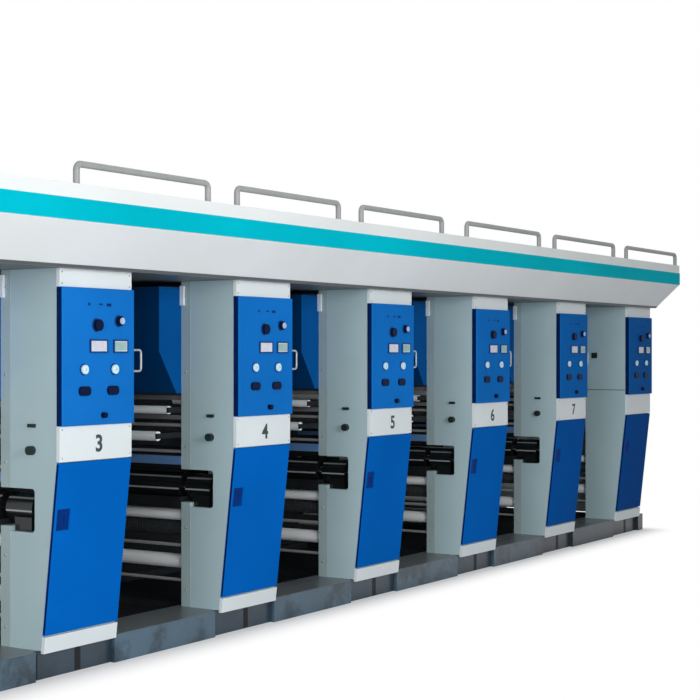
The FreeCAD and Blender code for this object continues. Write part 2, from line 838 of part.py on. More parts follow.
# Ink trays: open troughs below the printing cylinders
trays = new_body("ink_trays")
tray_left = first_column - S["tray_x"]
tray_right = tray_left + S["tray_width"]
tray_top = S["tray_floor"] + S["tray_height"]
sketch = add_sketch(trays, "tray_outline", "XZ_Plane")
add_box_outline(sketch, tray_left, tray_right, S["tray_floor"], tray_top)
tray_pad = add_pad(trays, sketch, "tray_pad", inner_width, midplane=True)
sketch = add_sketch(trays, "tray_hollow_outline", "XZ_Plane")
add_box_outline(sketch, tray_left + S["tray_wall"], tray_right - S["tray_wall"],
                S["tray_floor"] + S["tray_wall"], tray_top + S["tray_wall"])
tray_hollow = add_pocket(trays, sketch, "tray_hollow",
                         inner_width - 2 * S["tray_wall"], midplane=True)
repeat(trays, [tray_pad, tray_hollow], "tray_row", OPEN_BAYS, S["bay_pitch"])

# Grab handles on the right side of the columns
handles = new_body("grab_handles")
handle_y = front_y(S["handle_y"], -1)
handle_x = first_column + S["column_width"]
path = add_sketch(handles, "handle_path", "XZ_Plane", -handle_y)
add_open_path(path, [
    (handle_x, S["handle_z"]),
    (handle_x + S["handle_out"], S["handle_z"]),
    (handle_x + S["handle_out"], S["handle_z"] + S["handle_height"]),
    (handle_x, S["handle_z"] + S["handle_height"])], S["handle_bend"])
ring = add_sketch(handles, "handle_ring", "YZ_Plane", handle_x)
add_circle(ring, handle_y, S["handle_z"], S["handle_tube"] / 2)
handle = add_pipe(handles, ring, path, "handle_pipe")
repeat(handles, [handle], "handle_row", OPEN_BAYS, S["bay_pitch"])

# Knob and lever on the left side of the open columns
fittings = new_body("side_fittings")
sketch = add_sketch(fittings, "knob_outline", "YZ_Plane", first_column)
add_circle(sketch, front_y(S["knob_y"], -1), S["knob_z"], S["knob_radius"])
knob = add_pad(fittings, sketch, "knob", S["knob_length"], reverse=True)
sketch = add_sketch(fittings, "lever_outline", "YZ_Plane", first_column)
lever_y = front_y(S["knob_y"], -1)
add_box_outline(sketch, lever_y - S["lever_length"] / 2, lever_y + S["lever_length"] / 2,
                S["lever_z"], S["lever_z"] + S["lever_height"])
lever = add_pad(fittings, sketch, "lever", S["knob_length"] / 2, reverse=True)
repeat(fittings, [knob, lever], "fitting_row", OPEN_BAYS, S["bay_pitch"])

# Last column: two cover sheets on its left side and their catch
last_column = first_column + (BAYS - 1) * S["bay_pitch"]
cover = new_body("end_cover_panels")
cover_front = slope * (S["slant_top"] - S["base_height"]) + S["skin_thickness"]
sketch = add_sketch(cover, "lower_cover_outline", "YZ_Plane", last_column)
add_polygon(sketch, [
    (front_y(S["skin_thickness"], -1), S["cover_split"]),
    (front_y(S["skin_thickness"], -1), S["slant_top"]),
    (front_y(cover_front, -1), S["base_height"]),
    (front_y(S["wall_face"], -1), S["base_height"]),
    (front_y(S["wall_face"], -1), S["cover_split"])])
add_pad(cover, sketch, "lower_cover", S["cover_thickness"], reverse=True)
sketch = add_sketch(cover, "upper_cover_outline", "YZ_Plane", last_column)
add_box_outline(sketch, front_y(S["skin_thickness"], -1), front_y(S["wall_face"], -1),
                S["cover_split"] + S["cover_joint"], S["column_top"])
add_pad(cover, sketch, "upper_cover", S["cover_thickness"], reverse=True)
catch = new_body("cover_catch")
sketch = add_sketch(catch, "catch_outline", "YZ_Plane",
                    last_column - S["cover_thickness"])
catch_y = front_y(S["catch_y"], -1)
add_box_outline(sketch, catch_y - S["catch_size"] / 2, catch_y + S["catch_size"] / 2,
                S["catch_z"] - S["catch_size"] / 2, S["catch_z"] + S["catch_size"] / 2)
add_pad(catch, sketch, "catch_pad", S["catch_out"], reverse=True)

# Lamps on the inner edge of the open columns
lamps = new_body("column_lamps")
sketch = add_sketch(lamps, "lamp_outline", "YZ_Plane", first_column)
lamp_y = front_y(S["wall_face"], -1)
add_box_outline(sketch, lamp_y - S["lamp_width"], lamp_y, S["lamp_z"],
                S["lamp_z"] + S["lamp_height"])
lamp = add_pad(lamps, sketch, "lamp_pad", S["lamp_out"], reverse=True)
repeat(lamps, [lamp], "lamp_row", OPEN_BAYS, S["bay_pitch"])


def instruments(label, groups):
    """Raised pieces on the face of each control panel."""
    body = new_body(label)
    parts = []
    for number, (out, draw) in enumerate(groups, start=1):
        sketch = add_sketch(body, "%s_outline_%d" % (label, number), "XZ_Plane",
                            -proud_face)
        draw(sketch)
        parts.append(add_pad(body, sketch, "%s_pad_%d" % (label, number), out))
    repeat(body, parts, label + "_row", BAYS, S["bay_pitch"])


def draw_displays(sketch):
    half = S["display_height"] / 2
    for kind in ("", "small_"):
        x = first_column + S[kind + "display_x"]
        width = S[kind + "display_width"]
        add_box_outline(sketch, x - width / 2, x + width / 2,
                        S["display_z"] - half, S["display_z"] + half)


def draw_buttons(sketch):
    for place in ("left", "right"):
        x = first_column + S["button_%s_x" % place]
        add_circle(sketch, x, S["button_z"], S["button_radius"])


def draw_grips(sketch):
    for kind in ("selector", "switch", "socket"):
        x = first_column + S[kind + "_x"]
        add_circle(sketch, x, S[kind + "_z"], S[kind + "_radius"])


def draw_ovals(sketch):
    wide = S["oval_width"] / 2
    high = S["oval_height"] / 2
    for place in ("left", "right"):
        x = first_column + S["oval_%s_x" % place]
        add_rounded_box(sketch, x - wide, x + wide, S["oval_z"] - high,
                        S["oval_z"] + high, S["oval_round"])


instruments("control_displays", [(S["display_out"], draw_displays)])
instruments("control_buttons", [(S["button_out"], draw_buttons)])
instruments("control_grips", [(S["grip_out"], draw_grips), (S["oval_out"], draw_ovals)])

doc.recompute()

faults = []
for item in doc.Objects:
    if "Invalid" in item.State or "Error" in item.State:
        faults.append("%s: %s" % (item.Label, item.State))
nodes = [item for item in doc.Objects if item.TypeId == "PartDesign::Body"]
for node in nodes:
    if node.Shape.isNull() or not node.Shape.isValid() or not node.Shape.Solids:
        faults.append("%s: no valid solid" % node.Label)
if faults:
    raise RuntimeError("; ".join(faults))

os.makedirs("parts", exist_ok=True)
for node in nodes:
    node.Shape.exportStep("parts/%s.step" % node.Label)
    box = node.Shape.BoundBox
    print("%-22s %3d solids  %s" % (node.Label, len(node.Shape.Solids), (
        [round(v) for v in (box.XMin, box.XMax, box.YMin, box.YMax, box.ZMin, box.ZMax)])))
print(len(nodes), "pieces written")
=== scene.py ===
import math

import bmesh
import bpy
from mathutils import Matrix, Vector


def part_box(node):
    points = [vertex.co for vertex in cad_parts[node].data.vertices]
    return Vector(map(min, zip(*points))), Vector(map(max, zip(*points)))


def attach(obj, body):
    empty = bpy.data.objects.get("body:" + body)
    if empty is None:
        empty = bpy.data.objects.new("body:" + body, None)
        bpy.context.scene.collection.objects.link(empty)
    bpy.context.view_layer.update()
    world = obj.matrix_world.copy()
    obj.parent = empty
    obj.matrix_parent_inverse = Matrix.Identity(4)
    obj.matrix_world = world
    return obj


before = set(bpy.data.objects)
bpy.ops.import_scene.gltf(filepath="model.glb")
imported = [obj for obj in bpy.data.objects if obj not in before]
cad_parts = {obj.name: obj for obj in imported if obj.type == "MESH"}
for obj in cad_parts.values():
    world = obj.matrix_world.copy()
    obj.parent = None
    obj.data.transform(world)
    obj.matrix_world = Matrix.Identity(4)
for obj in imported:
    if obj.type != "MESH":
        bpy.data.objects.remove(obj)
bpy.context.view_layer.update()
scene = bpy.context.scene

# Layout of the machine, in metres
BAYS = 6
OPEN_BAYS = 5
PITCH = 1.480
COLUMN = 0.550
FIRST = -3.510
FRONT = -1.000
PANEL_FACE = -1.020
PANEL_LOW, PANEL_HIGH = 1.2925, 1.9925
SLANT_TOP = 1.105
SLOPE = 0.098 / 0.885
DOOR_LOW, DOOR_HIGH = 0.229, 1.104
COLUMN_TOP = 2.086
BASE_TOP = 0.150
HALF_LENGTH = 4.440
HEADER_FOOT = 2.088


def column_left(bay):
    return FIRST + bay * PITCH


def slant_y(z):
    """Y of the front skin's leaning face at this height."""
    return FRONT + SLOPE * (SLANT_TOP - z)


# Camera: level, at a standing person's eye, as the photograph was taken
VIEW_ANGLE = 0.5671
FOCAL_PIXELS = 1540.86
IMAGE_SIDE = 700
HORIZON_ROW = 355.03
EYE = Vector((-9.252, -6.386, 1.650))
camera_data = bpy.data.cameras.new("camera")
camera = bpy.data.objects.new("camera", camera_data)
scene.collection.objects.link(camera)
scene.camera = camera
camera.location = EYE
look = Vector((math.cos(VIEW_ANGLE), math.sin(VIEW_ANGLE), 0))
camera.rotation_mode = "QUATERNION"
camera.rotation_quaternion = look.to_track_quat("-Z", "Y")
camera_data.sensor_width = 36
camera_data.lens = FOCAL_PIXELS / IMAGE_SIDE * 36
camera_data.shift_y = (HORIZON_ROW - IMAGE_SIDE / 2) / IMAGE_SIDE
camera_data.clip_end = 200

scene.view_settings.view_transform = "Standard"


# Light: a pale studio with broad soft lamps at the front left, the side and above
def seen_directly(tree):
    """1 where a camera, glossy or transmission ray looks, 0 elsewhere."""
    path = tree.nodes.new("ShaderNodeLightPath")
    glossy = tree.nodes.new("ShaderNodeMath")
    glossy.operation = "MAXIMUM"
    tree.links.new(path.outputs["Is Glossy Ray"], glossy.inputs[0])
    tree.links.new(path.outputs["Is Transmission Ray"], glossy.inputs[1])
    seen = tree.nodes.new("ShaderNodeMath")
    seen.operation = "MAXIMUM"
    tree.links.new(path.outputs["Is Camera Ray"], seen.inputs[0])
    tree.links.new(glossy.outputs[0], seen.inputs[1])
    return seen.outputs[0]


world = bpy.data.worlds.new("studio")
scene.world = world
world.use_nodes = True
tree = world.node_tree
tree.nodes.clear()
plain = tree.nodes.new("ShaderNodeBackground")
plain.inputs["Color"].default_value = (0.95, 0.98, 1.0, 1)
plain.inputs["Strength"].default_value = 0.20
white = tree.nodes.new("ShaderNodeBackground")
white.inputs["Color"].default_value = (1, 1, 1, 1)
white.inputs["Strength"].default_value = 1.0
mix = tree.nodes.new("ShaderNodeMixShader")
out = tree.nodes.new("ShaderNodeOutputWorld")
tree.links.new(seen_directly(tree), mix.inputs[0])
tree.links.new(plain.outputs[0], mix.inputs[1])
tree.links.new(white.outputs[0], mix.inputs[2])
tree.links.new(mix.outputs[0], out.inputs["Surface"])


def add_lamp(name, place, aim, size, power):
    """A rectangular soft lamp at a place, turned to its aim."""
    data = bpy.data.lights.new(name, "AREA")
    data.shape = "RECTANGLE"
    data.size, data.size_y = size
    data.energy = power
    lamp = bpy.data.objects.new(name, data)
    scene.collection.objects.link(lamp)
    lamp.location = place
    lamp.rotation_mode = "QUATERNION"
    lamp.rotation_quaternion = (Vector(aim) - Vector(place)).to_track_quat("-Z", "Y")


add_lamp("key", (-4.6, -8.6, 2.9), (-1.7, -0.8, 1.4), (4.5, 3.0), 365)
add_lamp("fill", (-12.0, -7.5, 1.5), (-1.0, 0.0, 0.9), (4.0, 2.4), 230)
add_lamp("side", (-21.0, -5.0, 4.0), (-1.5, -0.6, 1.2), (6.5, 5.0), 800)
add_lamp("top", (0, 0, 9.0), (0, 0, 2.0), (12.0, 6.0), 130)


# Materials
def new_material(name, colour, rough=0.4, metal=0.0, spread=0.06, grain=7.0,
                 rough_spread=0.08, bump=0.02, bump_scale=420.0, gloss_level=0.5,
                 dirt_and_reflection=0.0, dirt_and_reflection_scale=3.7, stretch=(1, 1, 1), ribs=0.0):
    """Painted or ground surface with soft tonal drift, uneven gloss and fine bump."""
    material = bpy.data.materials.new(name)
    material.use_nodes = True
    nodes = material.node_tree.nodes
    link = material.node_tree.links.new
    shader = nodes["Principled BSDF"]
    shader.inputs["Metallic"].default_value = metal
    shader.inputs["Specular IOR Level"].default_value = gloss_level
    where = nodes.new("ShaderNodeTexCoord")
    scale = nodes.new("ShaderNodeMapping")
    scale.inputs["Scale"].default_value = stretch
    link(where.outputs["Object"], scale.inputs["Vector"])
    drift = nodes.new("ShaderNodeTexNoise")
    drift.inputs["Scale"].default_value = grain
    drift.inputs["Detail"].default_value = 5
    link(scale.outputs[0], drift.inputs["Vector"])
    tone = nodes.new("ShaderNodeValToRGB")
    low = [max(0.0, c * (1 - spread)) for c in colour]
    high = [min(1.0, c * (1 + spread)) for c in colour]
    tone.color_ramp.elements[0].position = 0.3
    tone.color_ramp.elements[0].color = (*low, 1)
    tone.color_ramp.elements[1].position = 0.7
    tone.color_ramp.elements[1].color = (*high, 1)
    link(drift.outputs["Fac"], tone.inputs["Fac"])
    colour_out = tone.outputs["Color"]
    # Dark mottled patches: real grime on the dark enamel, painted reflections on the glossy
    # slate base.
    if dirt_and_reflection:
        grime_and_reflection = nodes.new("ShaderNodeTexNoise")
        grime_and_reflection.inputs["Scale"].default_value = grain * dirt_and_reflection_scale
        grime_and_reflection.inputs["Detail"].default_value = 8
        grime_and_reflection.inputs["Roughness"].default_value = 0.7
        link(scale.outputs[0], grime_and_reflection.inputs["Vector"])
        mask = nodes.new("ShaderNodeMapRange")
        mask.inputs["From Min"].default_value = 0.48
        mask.inputs["From Max"].default_value = 0.60
        mask.inputs["To Max"].default_value = dirt_and_reflection
        link(grime_and_reflection.outputs["Fac"], mask.inputs["Value"])
        blend = nodes.new("ShaderNodeMix")
        blend.data_type = "RGBA"
        link(mask.outputs[0], blend.inputs[0])
        link(colour_out, blend.inputs[6])
        blend.inputs[7].default_value = (*[c * 0.3 for c in colour], 1)
        colour_out = blend.outputs[2]
    link(colour_out, shader.inputs["Base Color"])
    gloss = nodes.new("ShaderNodeMapRange")
    gloss.inputs["To Min"].default_value = max(0.02, rough - rough_spread)
    gloss.inputs["To Max"].default_value = rough + rough_spread
    link(drift.outputs["Fac"], gloss.inputs["Value"])
    link(gloss.outputs[0], shader.inputs["Roughness"])
    fine = nodes.new("ShaderNodeTexNoise")
    fine.inputs["Scale"].default_value = bump_scale
    fine.inputs["Detail"].default_value = 2
    link(scale.outputs[0], fine.inputs["Vector"])
    relief = nodes.new("ShaderNodeBump")
    relief.inputs["Strength"].default_value = bump
    relief.inputs["Distance"].default_value = 0.001
    link(fine.outputs["Fac"], relief.inputs["Height"])
    normal = relief.outputs[0]
    if ribs:
        wave = nodes.new("ShaderNodeTexWave")
        wave.bands_direction = "Y"
        wave.inputs["Scale"].default_value = ribs
        wave.inputs["Distortion"].default_value = 0.0
        link(where.outputs["Object"], wave.inputs["Vector"])
        grooves = nodes.new("ShaderNodeBump")
        grooves.inputs["Strength"].default_value = 0.8
        grooves.inputs["Distance"].default_value = 0.004
        link(wave.outputs["Fac"], grooves.inputs["Height"])
        link(normal, grooves.inputs["Normal"])
        normal = grooves.outputs[0]
    link(normal, shader.inputs["Normal"])
    return material


def add_tint(material, colour, pick):
    """Lays another colour where pick(nodes, link) gives a mask of 1."""
    nodes = material.node_tree.nodes
    link = material.node_tree.links.new
    shader = nodes["Principled BSDF"]
    below = shader.inputs["Base Color"].links[0].from_socket
    blend = nodes.new("ShaderNodeMix")
    blend.data_type = "RGBA"
    link(pick(nodes, link), blend.inputs[0])
    link(below, blend.inputs[6])
    blend.inputs[7].default_value = (*colour, 1)
    link(blend.outputs[2], shader.inputs["Base Color"])


def along(source, axis, stops):
    """Mask from one axis of a vector output, through (value, mask) stops."""
    def pick(nodes, link):
        kind, output = source
        where = nodes.new(kind)
        parts = nodes.new("ShaderNodeSeparateXYZ")
        link(where.outputs[output], parts.inputs[0])
        low, high = stops[0][0], stops[-1][0]
        level = nodes.new("ShaderNodeMapRange")
        level.inputs["From Min"].default_value = low
        level.inputs["From Max"].default_value = high
        link(parts.outputs[axis], level.inputs["Value"])
        ramp = nodes.new("ShaderNodeValToRGB")
        while len(ramp.color_ramp.elements) < len(stops):
            ramp.color_ramp.elements.new(0.5)
        for element, (value, mask) in zip(ramp.color_ramp.elements, stops):
            element.position = (value - low) / (high - low)
            element.color = (mask, mask, mask, 1)
        link(level.outputs[0], ramp.inputs["Fac"])
        return ramp.outputs["Color"]
    return pick


FACING = ("ShaderNodeNewGeometry", "Normal")
PLACE = ("ShaderNodeTexCoord", "Object")
ALONG = (1, 0.05, 1)
GREY = new_material("grey enamel", (0.44, 0.59, 0.625), rough=0.45, grain=1.6,
                    spread=0.05, gloss_level=0.3)
PLATE = new_material("wall plate enamel", (0.38, 0.49, 0.51), rough=0.42, grain=2.2,
                     spread=0.06, gloss_level=0.3)
BLUE = new_material("panel blue", (0.008, 0.165, 0.560), rough=0.42, grain=1.3,
                    spread=0.10, gloss_level=0.005)
DOOR = new_material("door blue", (0.001, 0.128, 0.520), rough=0.42, grain=1.1,
                    spread=0.10, gloss_level=0.005)
# Painted shade: panels and doors darken towards the right end of the machine, standing in
# for the light's falloff.
add_tint(BLUE, (0.002, 0.050, 0.210), along(PLACE, 0, ((1.0, 0), (4.4, 0.45))))
add_tint(DOOR, (0.001, 0.030, 0.170), along(PLACE, 0, ((1.0, 0), (4.4, 0.60))))
HOOD = new_material("hood blue", (0.001, 0.085, 0.310), rough=0.45, grain=1.4,
                    spread=0.12, gloss_level=0.03)
# Painted shade: hood faces turned to -X, into the bays, are darkened as if shaded.
add_tint(HOOD, (0.001, 0.045, 0.160), along(FACING, 0, ((-0.9, 1), (-0.3, 0))))
NAVY = new_material("recess navy", (0.001, 0.030, 0.190), rough=0.5, grain=9.0,
                    spread=0.2, gloss_level=0.05)
# Painted shade: dark navy for the strips over the left flanks of panels and doors.
FLANK_SHADE = new_material("flank shade navy", (0.001, 0.016, 0.090), rough=0.6, grain=9.0,
                      spread=0.2, gloss_level=0.05)
WHITE = new_material("white enamel", (0.76, 0.82, 0.835), rough=0.42, grain=1.8,
                     spread=0.04, gloss_level=0.3)
HEADER = new_material("header enamel", (0.84, 0.875, 0.875), rough=0.42, grain=0.9,
                      spread=0.05, gloss_level=0.2)
# Painted shade: the header's downward faces are darkened as if in its own shadow.
add_tint(HEADER, (0.16, 0.18, 0.19), along(FACING, 2, ((-0.98, 1), (-0.85, 0))))
# Painted shade: dark grey for the band under the header's fascia.
FASCIA_SHADE = new_material("painted fascia shade", (0.11, 0.12, 0.125), rough=0.5, grain=2.0,
                    spread=0.06, gloss_level=0.2)
STRIPE = new_material("turquoise enamel", (0.001, 0.50, 0.62), rough=0.38, grain=0.8,
                      spread=0.10, gloss_level=0.005)
# Painted reflection: the dark mottled patches on the slate base stand in for reflections in
# its glossy paint.
BASE = new_material("slate enamel", (0.066, 0.118, 0.165), rough=0.30, grain=1.7,
                    spread=0.30, rough_spread=0.10, gloss_level=0.4, dirt_and_reflection=0.8,
                    dirt_and_reflection_scale=1.9)
# Painted shade: everything behind the front rail's outer face, from the recesses back, is
# darkened as if shaded.
add_tint(BASE, (0.022, 0.038, 0.055), along(PLACE, 1, ((-0.870, 0), (-0.858, 0.8))))
# Painted shade: the base darkens towards the right end (x 0.6 to 3.6), standing in for the
# light's falloff.
add_tint(BASE, (0.014, 0.022, 0.030), along(PLACE, 0, ((0.6, 0), (3.6, 0.85))))
# Painted sheen: upward faces of the base are lightened to a pale grey, as if lit from above.
add_tint(BASE, (0.19, 0.21, 0.215), along(FACING, 2, ((0.85, 0), (0.95, 0.75))))
# Painted shade: the rear base rail gets a near-black slate, standing in for the shade inside
# the machine.
REAR_BASE = new_material("rear slate in painted shade", (0.020, 0.024, 0.028), rough=0.45,
                         grain=1.7, spread=0.3, gloss_level=0.2)
# Painted highlight: pale colour for the strips on the columns' bent front edges.
EDGE_HIGHLIGHT = new_material("bent edge highlight", (0.46, 0.53, 0.60), rough=0.35, grain=6.0,
                    spread=0.05, gloss_level=0.3)
# Pale grey-green: real beads over the roof sheet joints, and a painted highlight along the
# column and wall plate joints.
BEAD_AND_HIGHLIGHT = new_material("joint sealant and highlight", (0.44, 0.52, 0.52), rough=0.5, grain=9.0,
                    spread=0.08, gloss_level=0.2)
DARK = new_material("dark enamel", (0.010, 0.012, 0.014), rough=0.55, grain=5.0,
                    spread=0.3, gloss_level=0.2, dirt_and_reflection=0.3)
BAR = new_material("slate blue bar", (0.100, 0.200, 0.390), rough=0.4, grain=6.0,
                   spread=0.12, gloss_level=0.2, stretch=ALONG)
add_tint(BAR, (0.150, 0.145, 0.150), along(PLACE, 2, ((1.10, 0), (1.15, 1))))
RUBBER = new_material("ribbed rubber", (0.022, 0.026, 0.028), rough=0.5, grain=9.0,
                      spread=0.2, bump=0.08, bump_scale=900, stretch=ALONG, ribs=14.0)
NIP = new_material("ground rubber", (0.014, 0.016, 0.018), rough=0.4, grain=9.0,
                   spread=0.2, bump=0.06, bump_scale=900, stretch=ALONG)
SLEEVE = new_material("dark cylinder", (0.008, 0.010, 0.011), rough=0.22, grain=5.0,
                      spread=0.2, gloss_level=0.5, stretch=ALONG)
# Painted highlights: two pale streaks along the dark cylinders and their bearings, one just
# below the middle and one near the top, set by which way the surface faces.
add_tint(SLEEVE, (0.50, 0.52, 0.53), along(FACING, 2, (
    (-1, 0), (-0.20, 0), (-0.12, 1), (-0.04, 0), (0.62, 0), (0.70, 0.6), (0.78, 0),
    (1, 0))))
ALLOY = new_material("ground alloy", (0.92, 0.95, 0.96), rough=0.5, metal=0.0,
                     grain=14.0, spread=0.05, bump=0.05, bump_scale=700, stretch=ALONG)
STEEL = new_material("brushed steel", (0.50, 0.50, 0.49), rough=0.38, metal=0.5,
                     grain=12.0, spread=0.07, bump=0.05, bump_scale=800, stretch=ALONG)
HOOP = new_material("hoop enamel", (0.34, 0.35, 0.35), rough=0.4, grain=7.0,
                    spread=0.08, gloss_level=0.3)
KNOB = new_material("black knob plastic", (0.002, 0.008, 0.040), rough=0.45, grain=30.0,
                    spread=0.2, gloss_level=0.05)
GRIP = new_material("dark grip plastic", (0.016, 0.026, 0.028), rough=0.45, grain=30.0,
                    spread=0.2, gloss_level=0.2)
POLISH = new_material("satin handle steel", (0.40, 0.43, 0.47), rough=0.3, metal=0.3,
                      grain=20.0, spread=0.06)
BUTTON = new_material("pale button plastic", (0.62, 0.85, 0.92), rough=0.35, grain=30.0,
                      spread=0.05, gloss_level=0.3)
DISPLAY = new_material("display face", (0.66, 0.67, 0.78), rough=0.30, grain=25.0,
                       spread=0.08, gloss_level=0.3)
LAMP = new_material("lamp diffuser", (0.82, 0.88, 0.90), rough=0.35, grain=20.0,
                    spread=0.04)
INK = new_material("numeral ink", (0.045, 0.065, 0.075), rough=0.5, grain=40.0,
                   spread=0.2, gloss_level=0.2)
BEZEL = new_material("bezel plastic", (0.006, 0.050, 0.180), rough=0.5, grain=30.0,
                     spread=0.15, gloss_level=0.1)
GREEN = new_material("green glass", (0.30, 0.50, 0.48), rough=0.25, grain=30.0,
                     spread=0.12, gloss_level=0.3)
LAVENDER = new_material("pale lavender plastic", (0.42, 0.50, 0.72), rough=0.4,
                        grain=30.0, spread=0.10, gloss_level=0.3)
CYAN = new_material("pale cyan plastic", (0.50, 0.72, 0.74), rough=0.4, grain=30.0,
                    spread=0.08, gloss_level=0.3)
SCREW = new_material("zinc screw", (0.42, 0.44, 0.45), rough=0.4, metal=0.8, grain=60.0,
                     spread=0.1)

NODE_MATERIALS = {
    "front_columns": GREY, "rear_columns": GREY, "end_cover_panels": GREY,
    # Painted shade: the rear wall plates take the dark enamel, standing in for the shade
    # inside the machine.
    "front_wall_plates": PLATE, "rear_wall_plates": DARK,
    "base_front_rail": BASE, "base_rear_rail": REAR_BASE, "base_cross_beams": DARK,
    "base_floor_pans": DARK,
    "header_housing": HEADER, "header_stripe": STRIPE, "guard_hoops": HOOP,
    "cap_plates": WHITE, "number_plates": WHITE, "kick_plates": WHITE,
    "control_panels": BLUE, "rear_column_covers": BLUE,
    "rear_closing_panels": DARK, "end_closing_panel": GREY, "drying_hoods": HOOD,
    "cylinder_bearings": SLEEVE, "impression_rollers": NIP,
    "dark_rollers": RUBBER, "guide_rollers": ALLOY, "roller_arms": DARK,
    "tie_bars": BAR, "guide_rods": STEEL, "ink_trays": DARK,
    "grab_handles": POLISH, "side_fittings": GRIP, "cover_catch": GRIP,
    "column_lamps": LAMP, "control_displays": DISPLAY,
    "control_buttons": BUTTON, "control_grips": KNOB,
}
for bay in range(BAYS):
    NODE_MATERIALS["lower_door_%d" % (bay + 1)] = DOOR
for bay in range(OPEN_BAYS):
    NODE_MATERIALS["gravure_cylinder_%d" % (bay + 1)] = SLEEVE
for node, material in NODE_MATERIALS.items():
    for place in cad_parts[node].material_slots:
        place.material = material


# Pieces of the scene
def finish_piece(name, bm, material, body, smooth=False):
    """Turns a finished bmesh into a piece that rides on a body."""
    mesh = bpy.data.meshes.new(name)
    for face in bm.faces:
        face.smooth = smooth
    bm.to_mesh(mesh)
    bm.free()
    mesh.materials.append(material)
    piece = bpy.data.objects.new(name, mesh)
    scene.collection.objects.link(piece)
    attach(piece, body)
    return piece


def add_bar(bm, low, high, edge=0.0, turn=None):
    """A box with bevelled edges between two corners, turned about its middle."""
    middle = [(a + b) / 2 for a, b in zip(low, high)]
    size = [b - a for a, b in zip(low, high)]
    made = bmesh.ops.create_cube(bm, size=1.0)["verts"]
    place = Matrix.Translation(middle)
    if turn is not None:
        place = place @ turn
    place = place @ Matrix.Diagonal((*size, 1))
    bmesh.ops.transform(bm, matrix=place, verts=made)
    if edge:
        edges = list({e for v in made for e in v.link_edges})
        bmesh.ops.bevel(bm, geom=edges, offset=edge, segments=2, affect="EDGES")


def add_disc(bm, middle, radius, depth, axis, rim=0.0, steps=28):
    """A disc with a narrower outer face, standing out along -axis."""
    made = bmesh.ops.create_cone(bm, cap_ends=True, segments=steps, radius1=radius,
                                 radius2=radius - rim, depth=depth)["verts"]
    turn = {"Y": Matrix.Rotation(math.radians(90), 4, "X"),
            "X": Matrix.Rotation(math.radians(-90), 4, "Y")}[axis]
    bmesh.ops.transform(bm, matrix=Matrix.Translation(middle) @ turn, verts=made)


# Numerals on the number plates
NUMERAL_X = 0.295
NUMERAL_Z = 1.194
for bay, numeral in enumerate("34567"):
    text = bpy.data.curves.new("numeral_text_" + numeral, "FONT")
    text.body = numeral
    text.size = 0.120
    text.extrude = 0.0006
    text.offset = 0.0032
    text.align_x = "CENTER"
    text.align_y = "CENTER"
    holder = bpy.data.objects.new("numeral_text_" + numeral, text)
    scene.collection.objects.link(holder)
    bpy.context.view_layer.update()
    flat = bpy.data.meshes.new_from_object(
        holder.evaluated_get(bpy.context.evaluated_depsgraph_get()))
    bpy.data.objects.remove(holder)
    middle_x = sum(v.co.x for v in flat.vertices) / len(flat.vertices)
    highest = max(v.co.y for v in flat.vertices)
    lowest = min(v.co.y for v in flat.vertices)
    place = Matrix.Translation((column_left(bay) + NUMERAL_X, FRONT - 0.0007, NUMERAL_Z))
    flat.transform(place @ Matrix.Rotation(math.radians(90), 4, "X")
                   @ Matrix.Translation((-middle_x, -(highest + lowest) / 2, 0)))
    flat.materials.clear()
    flat.materials.append(INK)
    digit = bpy.data.objects.new("plate_numeral_" + numeral, flat)
    scene.collection.objects.link(digit)
    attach(digit, "machine")

# Latch plates in the recesses of the lower doors
LEAN = Matrix.Rotation(math.atan(SLOPE), 4, "X")
LATCH_LEFT = 0.014
LATCH_DROP = 0.235
LATCH_HALF_HEIGHT = 0.055
for bay in range(BAYS):
    bm = bmesh.new()
    left = column_left(bay) + LATCH_LEFT
    middle_z = SLANT_TOP - LATCH_DROP - LATCH_HALF_HEIGHT
    floor_y = slant_y(middle_z) + 0.0088
    add_bar(bm, (left + 0.002, floor_y - 0.001, middle_z - 0.0525),
            (left + 0.094, floor_y + 0.001, middle_z + 0.0525), 0.0004, LEAN)
    add_bar(bm, (left + 0.058, floor_y - 0.005, middle_z - 0.022),
            (left + 0.074, floor_y, middle_z + 0.022), 0.002, LEAN)
    finish_piece("door_latch_%d" % (bay + 1), bm, NAVY, "door_%d" % (bay + 1))

# Dark band under the header's fascia, painted shade along its lower edge
bm = bmesh.new()
RUN = 0.195 / 0.217
LIP = 1.055
END_RUN = 0.100 / 0.217
STRIP = (2.0882, 2.104)
outline = []
for z in STRIP:
    x = HALF_LENGTH + END_RUN * (z - HEADER_FOOT)
    y = LIP + RUN * (z - HEADER_FOOT)
    outline.append([(-x, -y), (x, -y), (x, y), (-x, y)])
rings = []
for out_by in (0.0, 0.0015):
    for level, z in enumerate(STRIP):
        rings.append([bm.verts.new((px + math.copysign(out_by, px),
                                    py + math.copysign(out_by, py), z))
                      for px, py in outline[level]])
inner_low, inner_high, outer_low, outer_high = rings
for side in range(4):
    after = (side + 1) % 4
    bm.faces.new((outer_low[side], outer_low[after], outer_high[after], outer_high[side]))
    bm.faces.new((outer_high[side], outer_high[after], inner_high[after], inner_high[side]))
    bm.faces.new((inner_low[side], inner_low[after], outer_low[after], outer_low[side]))
    bm.faces.new((inner_high[side], inner_high[after], inner_low[after], inner_low[side]))
finish_piece("header_shade_strip", bm, FASCIA_SHADE, "machine")

# Pale strip along the joint of each column and its wall plate, a painted highlight on the
# joint's edge
bm = bmesh.new()
for bay in range(OPEN_BAYS):
    x = column_left(bay)
    for low, high in ((BASE_TOP, 0.745), (0.970, COLUMN_TOP)):
        add_bar(bm, (x - 0.0012, -0.662, low), (x + 0.001, -0.656, high), 0.0003)
finish_piece("wall_joint_highlights", bm, BEAD_AND_HIGHLIGHT, "machine")

